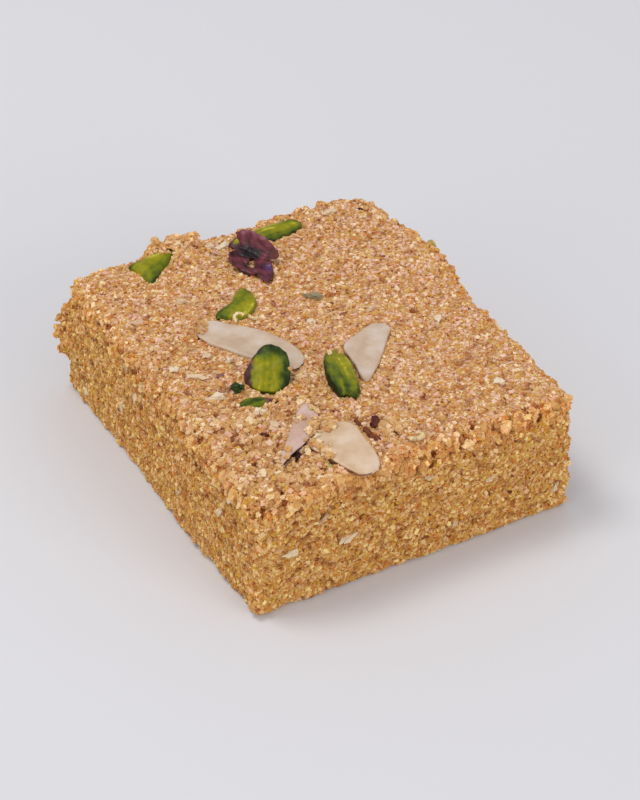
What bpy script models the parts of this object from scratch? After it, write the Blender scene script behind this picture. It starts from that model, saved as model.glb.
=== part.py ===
"""Gajak: one pressed block of sesame and jaggery crumb with chopped nuts set into its top.

The block stands on its flat cut base. The origin is the middle of that base, X runs along
the shorter side, Y along the longer one and Z points up. Lengths are in metres.
"""
import math
import random

import bmesh
import bpy
from mathutils import Euler, Vector, noise

MM = 0.001

# The pressed block
WIDTH = 56.2 * MM
DEPTH = 64.8 * MM
HEIGHT = 21.9 * MM
CELL = 1.85 * MM            # spacing of the points that carry the crumbly relief
EDGE_ROUND = 1.1 * MM       # how far the sharpest edges are worn
BASE_ROUND = 0.5 * MM       # the same, where the block stands
BASE_BAND = 3.0 * MM        # height over which the base's sharper edge takes over

# Relief of the pressed crumb: height and spacing of each size of lump
RELIEF = ((0.34 * MM, 5.5 * MM), (0.62 * MM, 1.37 * MM))
EDGE_RELIEF = 0.85 * MM     # extra roughness where an edge has crumbled
EDGE_LUMP = 2.45 * MM       # spacing of that roughness
EDGE_SHARPNESS = 6          # how soon that roughness gives way to the flat sides
POINT_SHIFT = 0.34 * MM     # sideways shuffle of the surface points

# Places where the block has crumbled more: x, y, z, reach and extra rounding
WEAR = (
    (-28.0 * MM, -32.0 * MM, 21.0 * MM, 11.0 * MM, 3.4 * MM),
    (-28.0 * MM, -15.0 * MM, 22.0 * MM, 12.0 * MM, 1.5 * MM),
    (-28.0 * MM, 4.0 * MM, 22.0 * MM, 12.0 * MM, 2.2 * MM),
    (-28.0 * MM, 24.0 * MM, 22.0 * MM, 11.0 * MM, 1.3 * MM),
    (-28.0 * MM, -32.0 * MM, 9.0 * MM, 9.0 * MM, 1.6 * MM),
    (28.0 * MM, 32.0 * MM, 22.0 * MM, 8.0 * MM, 2.6 * MM),
    (6.0 * MM, -32.4 * MM, 22.0 * MM, 12.0 * MM, 0.9 * MM),
    (28.0 * MM, -24.0 * MM, 22.0 * MM, 9.0 * MM, 1.0 * MM),
)

# Places where the crumb stands proud: x, y, z, reach and height
SWELL = (
    (29.0 * MM, 11.0 * MM, 19.0 * MM, 13.0 * MM, 1.7 * MM),
    (-28.0 * MM, 32.0 * MM, 11.0 * MM, 7.0 * MM, 1.6 * MM),
    (-9.0 * MM, 33.0 * MM, 22.0 * MM, 6.5 * MM, 2.2 * MM),
    (-28.0 * MM, -10.0 * MM, 5.0 * MM, 14.0 * MM, 0.5 * MM),
)

# Crumbs that cling to the block
CRUMB_SMALL = 0.8 * MM
CRUMB_LARGE = 1.7 * MM
CRUMBS_PER_EDGE = 9
CRUMBS_ON_HEAP = 9
CRUMBS_ON_CORNER = 7
CRUMBS_ON_TOP = 16
CRUMB_SINK = 0.35           # share of a crumb's radius that lies below the surface
CRUMB_CHIPPED = (0.75, 1.12)    # how far its corners stand from its middle, by its radius
CRUMB_WIDTH = (0.65, 0.95)      # its width and height, by its length
CRUMB_HEIGHT = (0.6, 0.85)
EDGE_SPAN = 0.46            # share of a side's length, each way, over which crumbs cling
HEAP_X = (-15.0, -5.0)      # the heap behind the toppings, in millimetres across the block

# Small bits pressed into the top: x, y and half length, width and height
TOP_BITS = (
    (-17.7 * MM, -6.9 * MM, 1.2 * MM, 1.0 * MM, 1.3 * MM),
    (-2.6 * MM, -23.3 * MM, 1.9 * MM, 0.8 * MM, 0.6 * MM),
    (1.0 * MM, -29.3 * MM, 1.6 * MM, 1.0 * MM, 0.7 * MM),
    (-17.0 * MM, -17.3 * MM, 1.3 * MM, 1.1 * MM, 0.7 * MM),
    (18.5 * MM, 28.0 * MM, 1.5 * MM, 0.9 * MM, 0.6 * MM),
    (-21.7 * MM, -6.4 * MM, 1.5 * MM, 1.0 * MM, 0.6 * MM),
)

TOP_BIT_TURN = 0.9          # each bit lies turned by this much more than the one before
TOP_BIT_LIFT = 0.1          # share of its height by which its middle stands above the top

GAP = 0.3 * MM              # clearance between a nut and the crumb round it
FLAKE = 0.95 * MM           # thickness of an almond flake
DROOP_START = 3.0 * MM      # where the front flake starts to droop, from its middle
DROOP_SLOPE = 0.06
DROOP_CURVE = 22.0
CUP_CURVE = 9.0             # how strongly the wing flake is cupped
SLIVER = 1.9 * MM           # thickness of a chopped pistachio
THIN_SLICE = 1.1 * MM       # and of the thinnest one
OUTLINE_STEPS = 2           # points that each stretch of an outline is drawn with
SEED = 21

# The tall chunk leans back this far, in this level direction
CHUNK_LEAN = math.radians(30.0)
LEAN_X = 0.50
LEAN_Y = 0.87
CHUNK = 3.1 * MM            # its thickness

# The grooved pistachio: its thickness and lengthwise direction, and the groove's size
GROOVED = 2.9 * MM
GROOVED_WAY = (0.33, 0.94)
GROOVE_WIDTH = 0.75 * MM
GROOVE_DEPTH = 0.55 * MM
GROOVE_FLOOR = 0.4          # share of the thickness below which the groove doesn't reach

# The dried petal: its middle, its thickness and its lobes
PETAL_MIDDLE = (0.2 * MM, 22.4 * MM, HEIGHT + 0.35 * MM)
PETAL = 0.9 * MM
END_CURL = 0.35             # how much the ends of a lobe curl up, by its long edges' curl
PETAL_LOBES = (
    # name, length, width, curl, x, y and z about the middle in millimetres, turns in degrees
    ("dried_petal", 7.2, 3.3, 0.7, 0.9, -3.3, 0.0, (0.0, 0.0, -109.0)),
    ("lobe_heart", 6.0, 3.8, 0.4, 0.9, 2.0, 0.35, (0.0, 0.0, -66.0)),
    ("lobe_left", 4.9, 3.7, 0.8, -1.9, 0.6, 0.4, (16.0, 0.0, 60.0)),
    ("lobe_bridge", 3.8, 1.9, 0.2, -1.5, -2.4, 0.1, (0.0, 0.0, -53.0)),
    ("lobe_fold", 9.2, 3.5, 0.5, 2.4, 1.5, 1.6, (52.0, 7.0, -66.0)),
)


def clear_scene():
    for obj in list(bpy.data.objects):
        bpy.data.objects.remove(obj, do_unlink=True)


def make_material(name, colour, roughness):
    material = bpy.data.materials.new(name)
    material.use_nodes = True
    shader = material.node_tree.nodes["Principled BSDF"]
    shader.inputs["Base Color"].default_value = (*colour, 1.0)
    shader.inputs["Roughness"].default_value = roughness
    return material


def new_object(name, bm, material):
    mesh = bpy.data.meshes.new(name)
    bm.to_mesh(mesh)
    bm.free()
    obj = bpy.data.objects.new(name, mesh)
    obj.data.materials.append(material)
    bpy.context.scene.collection.objects.link(obj)
    return obj


def fade(distance, reach):
    """One at the place itself, falling smoothly to nothing at its reach."""
    share = min(distance / reach, 1.0)
    return (1.0 - share * share) ** 2


def worn_surface(point):
    """Takes a point of the sharp box to the worn block, and says which way is out there."""
    rounding = EDGE_ROUND
    for x, y, z, reach, extra in WEAR:
        rounding += extra * fade((point - Vector((x, y, z))).length, reach)
    base_share = min(point.z / BASE_BAND, 1.0)
    rounding = BASE_ROUND + (rounding - BASE_ROUND) * base_share

    core = Vector((
        max(-WIDTH / 2 + rounding, min(WIDTH / 2 - rounding, point.x)),
        max(-DEPTH / 2 + rounding, min(DEPTH / 2 - rounding, point.y)),
        max(rounding, min(HEIGHT - rounding, point.z)),
    ))
    out = (point - core).normalized()
    edge_share = 1.0 - max(abs(out.x), abs(out.y), abs(out.z)) ** EDGE_SHARPNESS
    place = core + out * rounding

    lift = 0.0
    for height, spacing in RELIEF:
        lift += height * noise.noise(point / spacing)
    lift += EDGE_RELIEF * edge_share * noise.noise(point / EDGE_LUMP)
    for x, y, z, reach, height in SWELL:
        lift += height * fade((point - Vector((x, y, z))).length, reach)
    shuffle = noise.noise_vector(point / CELL) * POINT_SHIFT
    if point.z <= 0.0:
        out_level = Vector((out.x, out.y, 0.0))
        return place + out_level * lift, out
    return place + out * lift + (shuffle - out * shuffle.dot(out)) * base_share, out


def make_block(material):
    """The pressed crumb as one worn slab on a flat base."""
    bm = bmesh.new()
    bmesh.ops.create_cube(bm, size=1.0)
    bmesh.ops.scale(bm, vec=(WIDTH, DEPTH, HEIGHT), verts=bm.verts)
    bmesh.ops.translate(bm, vec=(0.0, 0.0, HEIGHT / 2), verts=bm.verts)
    spans = ((0, -WIDTH / 2, WIDTH), (1, -DEPTH / 2, DEPTH), (2, 0.0, HEIGHT))
    for axis, start, length in spans:
        cells = round(length / CELL)
        for cut in range(1, cells):
            place = [0.0, 0.0, 0.0]
            place[axis] = start + length * cut / cells
            way = [0.0, 0.0, 0.0]
            way[axis] = 1.0
            geometry = bm.verts[:] + bm.edges[:] + bm.faces[:]
            bmesh.ops.bisect_plane(bm, geom=geometry, plane_co=place, plane_no=way)
    for vert in bm.verts:
        vert.co, _ = worn_surface(vert.co.copy())
    for vert in bm.verts:
        if vert.co.z < 0.02 * MM:
            vert.co.z = 0.0
    base = [face for face in bm.faces if max(v.co.z for v in face.verts) == 0.0]
    bmesh.ops.dissolve_faces(bm, faces=base)
    return new_object("gajak_block", bm, material)


def crumb_places(rng):
    """Points of the sharp box where crumbs cling, most of them on the worn upper edges."""
    for _ in range(CRUMBS_PER_EDGE):
        along = rng.uniform(-EDGE_SPAN, EDGE_SPAN)
        yield Vector((-WIDTH / 2, along * DEPTH, HEIGHT * rng.uniform(0.88, 1.0)))
        along = rng.uniform(-EDGE_SPAN, EDGE_SPAN)
        yield Vector((WIDTH / 2, along * DEPTH, HEIGHT * rng.uniform(0.85, 1.0)))
        along = rng.uniform(-0.42, EDGE_SPAN)
        yield Vector((along * WIDTH, -DEPTH / 2, HEIGHT * rng.uniform(0.90, 1.0)))
        along = rng.uniform(-EDGE_SPAN, EDGE_SPAN)
        yield Vector((along * WIDTH, DEPTH / 2, HEIGHT * rng.uniform(0.88, 1.0)))
    for _ in range(CRUMBS_ON_HEAP):
        yield Vector((rng.uniform(*HEAP_X) * MM, DEPTH / 2 - rng.uniform(0.0, 1.5) * MM, HEIGHT))
    for _ in range(CRUMBS_ON_TOP):
        yield Vector((rng.uniform(-0.4, 0.45) * WIDTH, rng.uniform(-0.45, 0.45) * DEPTH, HEIGHT))
    for _ in range(CRUMBS_ON_CORNER):
        yield Vector((-WIDTH / 2, -DEPTH / 2, HEIGHT * rng.uniform(0.2, 0.95)))
        yield Vector((-WIDTH / 2, DEPTH / 2, HEIGHT * rng.uniform(0.3, 0.75)))


def make_crumb(place, size, rng, material, index):
    """A small broken lump with flat sides."""
    bm = bmesh.new()
    bmesh.ops.create_icosphere(bm, subdivisions=1, radius=1.0)
    for vert in bm.verts:
        vert.co *= rng.uniform(*CRUMB_CHIPPED)
    turn = Euler((rng.uniform(0.0, math.pi), rng.uniform(0.0, math.pi), rng.uniform(0.0, math.pi)))
    stretch = (size, size * rng.uniform(*CRUMB_WIDTH), size * rng.uniform(*CRUMB_HEIGHT))
    bmesh.ops.scale(bm, vec=stretch, verts=bm.verts)
    bmesh.ops.transform(bm, matrix=turn.to_matrix().to_4x4(), verts=bm.verts)
    bmesh.ops.translate(bm, vec=place, verts=bm.verts)
    return new_object(f"crumb_{index}", bm, material)


def make_top_bits(material):
    """The small flecks of nut, skin and cream-coloured crumb, as flat lumps."""
    bits = []
    for index, (x, y, length, width, height) in enumerate(TOP_BITS):
        bm = bmesh.new()
        bmesh.ops.create_icosphere(bm, subdivisions=1, radius=1.0)
        bmesh.ops.scale(bm, vec=(length, width, height), verts=bm.verts)
        turn = Euler((0.0, 0.0, TOP_BIT_TURN * index)).to_matrix()
        bmesh.ops.rotate(bm, matrix=turn, verts=bm.verts)
        bmesh.ops.translate(bm, vec=(x, y, HEIGHT + TOP_BIT_LIFT * height), verts=bm.verts)
        bits.append(new_object(f"top_bit_{index}", bm, material))
    return bits


def apply_boolean(target, tools, operation, solver="EXACT"):
    """Joins the tools to the target, or cuts them from it, and removes them."""
    group = bpy.data.collections.new(f"tools_{operation.lower()}")
    for tool in tools:
        group.objects.link(tool)
    step = target.modifiers.new("fuse", "BOOLEAN")
    step.operand_type = "COLLECTION"
    step.collection = group
    step.operation = operation
    step.solver = solver
    shape = target.evaluated_get(bpy.context.evaluated_depsgraph_get())
    result = bpy.data.meshes.new_from_object(shape)
    target.modifiers.clear()
    target.data = result
    for tool in tools:
        bpy.data.objects.remove(tool, do_unlink=True)
    bpy.data.collections.remove(group)


def drop_scraps(obj):
    """Keeps the largest body of the object, so that no loose scrap is left."""
    bm = bmesh.new()
    bm.from_mesh(obj.data)
    unseen = set(bm.verts)
    bodies = []
    while unseen:
        queue = [unseen.pop()]
        body = set(queue)
        while queue:
            vert = queue.pop()
            for edge in vert.link_edges:
                other = edge.other_vert(vert)
                if other in unseen:
                    unseen.remove(other)
                    body.add(other)
                    queue.append(other)
        bodies.append(body)
    bodies.sort(key=len)
    loose = [vert for body in bodies[:-1] for vert in body]
    bmesh.ops.delete(bm, geom=loose, context="VERTS")
    bm.to_mesh(obj.data)
    bm.free()


def smooth_outline(corners):
    """A closed curve through the corners, each stretch a Catmull-Rom arc."""
    points = [Vector((x * MM, y * MM)) for x, y in corners]
    count = len(points)
    curve = []
    for index in range(count):
        before = points[index - 1]
        start = points[index]
        end = points[(index + 1) % count]
        after = points[(index + 2) % count]
        for step in range(OUTLINE_STEPS):
            t = step / OUTLINE_STEPS
            curve.append(0.5 * (
                2.0 * start + (end - before) * t
                + (2.0 * before - 5.0 * start + 4.0 * end - after) * t * t
                + (3.0 * start - 3.0 * end + after - before) * t ** 3
            ))
    return curve


def make_nut(name, corners, layers, place, tilt, material, bend=None):
    """A piece of nut laid up from rings of its outline.

    corners is the outline seen from above, in millimetres about the piece's own middle.
    Each layer gives the outline's share of its full size and the ring's height. bend moves
    a point of the finished lay-up.
    """
    curve = smooth_outline(corners)
    middle = sum(curve, Vector((0.0, 0.0))) / len(curve)
    bm = bmesh.new()
    rings = []
    for share, height in layers:
        ring = []
        for point in curve:
            spot = middle + (point - middle) * share
            ring.append(bm.verts.new((spot.x, spot.y, height)))
        rings.append(ring)
    for lower, upper in zip(rings, rings[1:]):
        for index in range(len(curve)):
            nearby = (index + 1) % len(curve)
            bm.faces.new((lower[index], lower[nearby], upper[nearby], upper[index]))
    underside = bm.verts.new((middle.x, middle.y, layers[0][1]))
    crown = bm.verts.new((middle.x, middle.y, layers[-1][1]))
    for index in range(len(curve)):
        nearby = (index + 1) % len(curve)
        bm.faces.new((underside, rings[0][nearby], rings[0][index]))
        bm.faces.new((crown, rings[-1][index], rings[-1][nearby]))
    if bend:
        for vert in bm.verts:
            vert.co = bend(vert.co)
    bmesh.ops.recalc_face_normals(bm, faces=bm.faces)
    nut = new_object(name, bm, material)
    nut.location = place
    nut.rotation_euler = tilt
    nut.data.shade_smooth()
    return nut


def flake_layers(thickness):
    """An almond flake: a sliced disc with softly broken rims."""
    return (
        (0.55, 0.0),
        (0.93, 0.0),
        (1.0, 0.45 * thickness),
        (0.95, 0.9 * thickness),
        (0.55, thickness),
    )


def sliver_layers(thickness):
    """A chopped pistachio: rounded below, domed above."""
    return (
        (0.45, 0.0),
        (0.85, 0.16 * thickness),
        (1.0, 0.52 * thickness),
        (0.88, 0.86 * thickness),
        (0.48, thickness),
    )


def chunk_layers(thickness):
    """Half a pistachio cut across: a flat face on top of a rounded, skinned back."""
    return (
        (0.35, 0.0),
        (0.72, 0.16 * thickness),
        (0.96, 0.5 * thickness),
        (1.0, 0.85 * thickness),
        (0.9, thickness),
        (0.45, 1.03 * thickness),
    )


def make_pistachios(material):
    """Six green pieces, each lying as it fell."""
    top = HEIGHT
    pieces = [
        make_nut(
            "pistachio_back_left",
            ((-4.2, 1.3), (-1.6, 2.0), (1.6, 2.6), (4.9, 2.3), (4.0, 0.6), (1.2, -1.3), (-2.6, -4.6),
             (-3.2, -1.2)),
            sliver_layers(SLIVER), (-14.1 * MM, 28.7 * MM, top - 0.9 * MM),
            (math.radians(4.0), math.radians(3.0), 0.0), material,
        ),
        make_nut(
            "pistachio_back_edge",
            ((-7.3, -0.3), (-6.6, 1.0), (-2.0, 1.7), (4.4, 1.8), (6.4, 1.2), (6.5, -0.2), (4.6, -1.6),
             (-0.5, -2.2), (-4.5, -1.5)),
            sliver_layers(SLIVER), (6.6 * MM, 27.9 * MM, top - 1.0 * MM),
            (math.radians(3.0), 0.0, 0.0), material,
        ),
        make_nut(
            "pistachio_middle",
            ((3.0, 4.5), (3.9, 2.6), (3.4, 0.0), (1.8, -1.9), (-0.6, -2.6), (-2.2, -1.9), (-4.3, 0.0),
             (-2.9, 1.0), (-0.4, 1.8), (1.0, 3.4)),
            sliver_layers(SLIVER), (-7.5 * MM, 11.7 * MM, top - 0.7 * MM),
            (0.0, math.radians(-3.0), 0.0), material,
        ),
        make_nut(
            "pistachio_thin_slice",
            ((-2.8, 0.4), (-1.1, 1.3), (1.6, 0.6), (3.1, -0.4), (1.8, -1.1), (-1.2, -1.0)),
            sliver_layers(THIN_SLICE), (-16.5 * MM, -10.1 * MM, top - 0.5 * MM),
            (math.radians(14.0), 0.0, 0.0), material,
        ),
    ]
    pieces.append(make_front_pistachio(material))
    pieces.append(make_chunk(material))
    return pieces


def make_front_pistachio(material):
    """A pistachio half with a groove along it and a split lower end."""
    way_x, way_y = GROOVED_WAY

    def groove(point):
        across = point.x * way_y - point.y * way_x
        dip = GROOVE_DEPTH * math.exp(-(across / GROOVE_WIDTH) ** 2)
        upper_share = max(point.z / GROOVED - GROOVE_FLOOR, 0.0)
        return Vector((point.x, point.y, point.z - dip * upper_share))

    return make_nut(
        "pistachio_front",
        ((2.0, 6.9), (3.2, 4.7), (3.1, 1.9), (2.2, -1.0), (1.1, -4.2), (-0.5, -6.2), (-1.6, -4.6),
         (-2.8, -4.6), (-2.8, -1.4), (-1.9, 1.6), (-0.4, 4.6)),
        sliver_layers(GROOVED), (-1.9 * MM, -11.1 * MM, HEIGHT - 1.0 * MM),
        (math.radians(-2.0), math.radians(4.0), 0.0), material, bend=groove,
    )


def make_chunk(material):
    """The tall chunk: a cut half that leans back, its flat face up and to the front."""
    turn = math.atan2(-LEAN_X, LEAN_Y)
    chunk = make_nut(
        "pistachio_chunk",
        ((-3.6, 2.2), (-1.6, 0.5), (1.2, 0.1), (3.4, 1.8), (3.6, 4.4), (2.9, 7.2), (0.5, 8.6),
         (-1.4, 7.7), (-3.1, 4.8)),
        chunk_layers(CHUNK), (0.0, 0.0, 0.0), (CHUNK_LEAN, 0.0, turn), material,
    )
    back = Vector((0.0, 0.0, -CHUNK))
    frame = Euler((CHUNK_LEAN, 0.0, turn)).to_matrix()
    chunk.location = Vector((-13.8 * MM, -9.1 * MM, HEIGHT + 0.1 * MM)) + frame @ back
    return chunk


def make_almonds(material):
    """Four sliced almond flakes, pressed flat into the top."""
    top = HEIGHT

    def droop(point):
        past = max(-point.y - DROOP_START, 0.0)
        return Vector((point.x, point.y, point.z - DROOP_SLOPE * past - DROOP_CURVE * past * past))

    def cup(point):
        return Vector((point.x, point.y, point.z + CUP_CURVE * point.y * point.y))

    return [
        make_nut(
            "almond_flake_left",
            ((-6.2, 7.1), (-3.6, 8.5), (-1.9, 7.9), (0.2, 5.5), (2.8, 3.2), (4.5, 0.7), (6.0, -3.1),
             (6.4, -6.5), (5.4, -8.2), (3.4, -8.8), (1.8, -7.4), (-0.2, -5.0), (-2.0, -2.6),
             (-3.9, 0.6), (-5.5, 3.0)),
            flake_layers(FLAKE), (-10.4 * MM, 2.9 * MM, top - 0.25 * MM), (0.0, 0.0, 0.0), material,
        ),
        make_nut(
            "almond_flake_right",
            ((-3.4, 2.3), (-2.0, 3.6), (0.5, 4.6), (4.1, 5.5), (6.0, 3.8), (5.0, 2.1), (0.6, -2.8),
             (-1.9, -5.2), (-3.9, -6.8), (-4.6, -5.9), (-3.9, -2.4)),
            flake_layers(FLAKE), (5.6 * MM, -7.2 * MM, top - 0.2 * MM),
            (0.0, math.radians(-1.5), 0.0), material,
        ),
        make_nut(
            "almond_flake_wing",
            ((5.0, 6.5), (5.6, 4.0), (4.6, 1.3), (2.0, -0.9), (-0.8, -2.6), (-3.2, -3.7), (-5.6, -5.3),
             (-5.2, -3.9), (-2.7, -0.7), (0.2, 2.4), (2.9, 5.4)),
            flake_layers(FLAKE), (-14.7 * MM, -20.8 * MM, top - 0.1 * MM),
            (0.0, math.radians(2.0), 0.0), material, bend=cup,
        ),
        make_nut(
            "almond_flake_front",
            ((1.3, 6.9), (3.2, 6.3), (4.0, 4.6), (3.9, 0.9), (3.5, -2.7), (2.9, -4.9), (1.0, -5.9),
             (-1.1, -5.5), (-2.4, -3.4), (-3.4, -0.6), (-4.6, 2.5), (-4.4, 3.9), (-1.9, 5.5)),
            flake_layers(FLAKE), (-9.7 * MM, -27.3 * MM, top - 0.15 * MM), (0.0, 0.0, 0.0),
            material, bend=droop,
        ),
    ]


def make_lobe(name, length, width, curl, place, turn, material):
    """One lobe of the dried petal: a thin leaf along X whose long edges curl up."""
    bm = bmesh.new()
    bmesh.ops.create_uvsphere(bm, u_segments=12, v_segments=6, radius=1.0)
    bmesh.ops.scale(bm, vec=(length / 2, width / 2, PETAL / 2), verts=bm.verts)
    for vert in bm.verts:
        across = vert.co.y / (width / 2)
        along = vert.co.x / (length / 2)
        vert.co.z += curl * across * across + END_CURL * curl * along * along
    bmesh.ops.transform(bm, matrix=Euler(turn).to_matrix().to_4x4(), verts=bm.verts)
    bmesh.ops.translate(bm, vec=place, verts=bm.verts)
    return new_object(name, bm, material)


def make_petal(material):
    """A dark dried petal of curled lobes, its upper lobe standing like a fold."""
    lobes = []
    for name, length, width, curl, x, y, z, turns in PETAL_LOBES:
        place = Vector(PETAL_MIDDLE) + Vector((x, y, z)) * MM
        turn = [math.radians(angle) for angle in turns]
        lobes.append(make_lobe(name, length * MM, width * MM, curl * MM, place, turn, material))
    petal = lobes[0]
    apply_boolean(petal, lobes[1:], "UNION")
    drop_scraps(petal)
    petal.data.shade_smooth()
    return petal


def cutter_for(piece):
    """The piece grown by the clearance, ready to be cut from the block."""
    cutter = piece.copy()
    cutter.data = piece.data.copy()
    cutter.name = f"{piece.name}_pocket"
    bpy.context.scene.collection.objects.link(cutter)
    bm = bmesh.new()
    bm.from_mesh(cutter.data)
    bm.normal_update()
    places = [vert.co + vert.normal * GAP * vert.calc_shell_factor() for vert in bm.verts]
    for vert, place in zip(bm.verts, places):
        vert.co = place
    bm.to_mesh(cutter.data)
    bm.free()
    cutter.hide_render = True
    cutter.display_type = "WIRE"
    return cutter


def build():
    clear_scene()
    crumb = make_material("pressed_crumb", (0.56, 0.31, 0.13), 0.85)
    green = make_material("pistachio", (0.20, 0.24, 0.02), 0.45)
    ivory = make_material("almond", (0.70, 0.55, 0.38), 0.5)
    dark = make_material("dried_petal", (0.06, 0.02, 0.035), 0.35)

    rng = random.Random(SEED)
    block = make_block(crumb)
    crumbs = []
    for index, point in enumerate(crumb_places(rng)):
        surface, out = worn_surface(point)
        size = rng.uniform(CRUMB_SMALL, CRUMB_LARGE)
        crumbs.append(make_crumb(surface - out * size * CRUMB_SINK, size, rng, crumb, index))
    apply_boolean(block, crumbs + make_top_bits(crumb), "UNION")

    toppings = make_pistachios(green) + make_almonds(ivory) + [make_petal(dark)]
    bpy.context.view_layer.update()
    pockets = [cutter_for(piece) for piece in toppings]
    apply_boolean(block, pockets, "DIFFERENCE", solver="MANIFOLD")
    drop_scraps(block)
    block.data.shade_smooth()
    block.data.set_sharp_from_angle(angle=math.radians(50.0))


build()
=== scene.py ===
"""The looks of a block of gajak: pressed sesame and jaggery crumb with nuts set in its top."""

import math

import bpy
import numpy as np
from mathutils import Matrix, Vector, noise
from mathutils.bvhtree import BVHTree


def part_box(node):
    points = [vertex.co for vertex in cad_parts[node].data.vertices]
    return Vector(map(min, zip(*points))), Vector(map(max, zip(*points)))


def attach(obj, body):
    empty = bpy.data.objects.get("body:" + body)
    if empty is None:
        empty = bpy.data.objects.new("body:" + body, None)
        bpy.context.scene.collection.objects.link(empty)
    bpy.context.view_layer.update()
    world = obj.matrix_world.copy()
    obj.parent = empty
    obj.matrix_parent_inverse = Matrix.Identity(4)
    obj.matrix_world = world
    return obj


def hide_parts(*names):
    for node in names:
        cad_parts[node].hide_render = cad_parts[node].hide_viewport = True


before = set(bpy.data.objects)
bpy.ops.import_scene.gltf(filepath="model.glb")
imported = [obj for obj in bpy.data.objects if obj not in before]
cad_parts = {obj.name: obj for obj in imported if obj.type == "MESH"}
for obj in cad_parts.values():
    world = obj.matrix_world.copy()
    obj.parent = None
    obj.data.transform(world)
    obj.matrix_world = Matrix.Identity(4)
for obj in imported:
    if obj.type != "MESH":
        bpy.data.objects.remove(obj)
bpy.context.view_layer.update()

# The view and the light
# The block stands on a plain pale surface in the even light of a bright room, under one
# broad soft lamp. It is seen from above its front left corner.
MM = 0.001
scene = bpy.context.scene
scene.view_settings.view_transform = "Standard"

CAMERA_PLACE = Vector((-189.2, -323.2, 310.4)) * MM
CAMERA_AIM = Vector((0.6, -1.0, 9.6)) * MM
CAMERA_LENS = 134.0
CAMERA_ROLL = math.radians(1.66)
bpy.ops.object.select_all(action="DESELECT")
bpy.ops.object.camera_add(location=CAMERA_PLACE)
camera = bpy.context.object
look = (CAMERA_AIM - CAMERA_PLACE).to_track_quat("-Z", "Y")
camera.rotation_euler = (look.to_matrix() @ Matrix.Rotation(CAMERA_ROLL, 3, "Z")).to_euler()
camera.data.lens = CAMERA_LENS
camera.data.clip_start = 0.01
scene.camera = camera

world = bpy.data.worlds.new("room")
world.use_nodes = True
world.node_tree.nodes["Background"].inputs["Color"].default_value = (0.93, 0.96, 1.0, 1.0)
world.node_tree.nodes["Background"].inputs["Strength"].default_value = 0.56
scene.world = world


def add_lamp(name, place, size, power, colour):
    """A square soft lamp that faces the block."""
    bpy.ops.object.light_add(type="AREA", location=place)
    lamp = bpy.context.object
    lamp.name = name
    lamp.data.size = size
    lamp.data.energy = power
    lamp.data.color = colour
    lamp.rotation_euler = (-Vector(place)).to_track_quat("-Z", "Y").to_euler()


add_lamp("overhead_lamp", (-0.25, 0.20, 0.80), 0.30, 2.63, (1.0, 0.97, 0.92))
add_lamp("left_fill", (-0.80, -0.25, 0.40), 0.50, 1.14, (1.0, 0.97, 0.93))
add_lamp("front_fill", (0.30, -0.85, 0.40), 0.50, 2.5, (1.0, 0.97, 0.93))

bpy.ops.mesh.primitive_plane_add(size=6.0, location=(0.0, 0.0, 0.0))
floor = bpy.context.object
floor.name = "floor"
floor_finish = bpy.data.materials.new("pale_surface")
floor_finish.use_nodes = True
floor_shader = floor_finish.node_tree.nodes["Principled BSDF"]
floor_shader.inputs["Base Color"].default_value = (0.725, 0.72, 0.757, 1.0)
floor_shader.inputs["Roughness"].default_value = 0.7
floor.data.materials.append(floor_finish)

# The pressed crumb
# One slab of crushed sesame bound with jaggery, pressed flat in a tray and cut with a knife.
# The cut leaves dry granular sides, and the upper edges are pitted where they have crumbled.
CORE_VOXEL = 0.41 * MM
BASE_FREE = 1.0 * MM        # height over which the flat base gives way to the rough sides
EDGE_REACH = 4.0 * MM       # how far from an edge of the block the crumb is loosened
TOP_UNEVENNESS = 3.0 * MM   # how far the top lies below the block's highest crumb
CRUMBLED_PLACE = (-19.0, -22.0)  # where the top has fallen apart most, in millimetres
CRUMBLED_REACH = 21.0 * MM
CRUMBLED_FROM = 14.0 * MM   # the height at which the crumbling starts
CRUMBLED_RISE = 6.0 * MM    # and how much higher it is complete
PRESSED_ROUGHNESS = 0.24    # of the pressed top, as a share of the roughest crumb
CUT_ROUGHNESS = 0.10        # what a cut side adds to it
EDGE_ROUGHNESS = 0.46       # what an edge adds
CRUMBLED_ROUGHNESS = 0.26   # and what crumbling adds
ROUGHNESS_STEPS = 20
LUMPS = (
    # name, pattern, spacing and height in millimetres
    ("clumps", "CLOUDS", 1.7, 1.7), ("crumbs", "CLOUDS", 0.8, 1.15), ("grains", "VORONOI", 0.7, -0.6),
)
PITS = 320                  # places where a lump has fallen out of the surface
PITTED_FROM = 11.0 * MM     # the height at which the sides become pitted
PITTED_RISE = 8.0 * MM      # and how much higher they are pitted most
PIT_RADII = (0.5, 1.2)      # the smallest and the largest, in millimetres
PIT_DEPTH = 0.75            # a pit's depth as a share of its radius
HOLLOW_DEPTH = 0.21 * MM    # a hollow this deep is fully in shade
block_low, block_high = (np.array(corner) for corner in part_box("gajak_block"))


def work_on(obj):
    """Makes the object the only selected one, and the active one."""
    bpy.ops.object.select_all(action="DESELECT")
    obj.select_set(True)
    bpy.context.view_layer.objects.active = obj


def apply_modifiers(obj):
    """Makes the shape that the object's modifiers give its own."""
    work_on(obj)
    for modifier in list(obj.modifiers):
        bpy.ops.object.modifier_apply(modifier=modifier.name)


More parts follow.
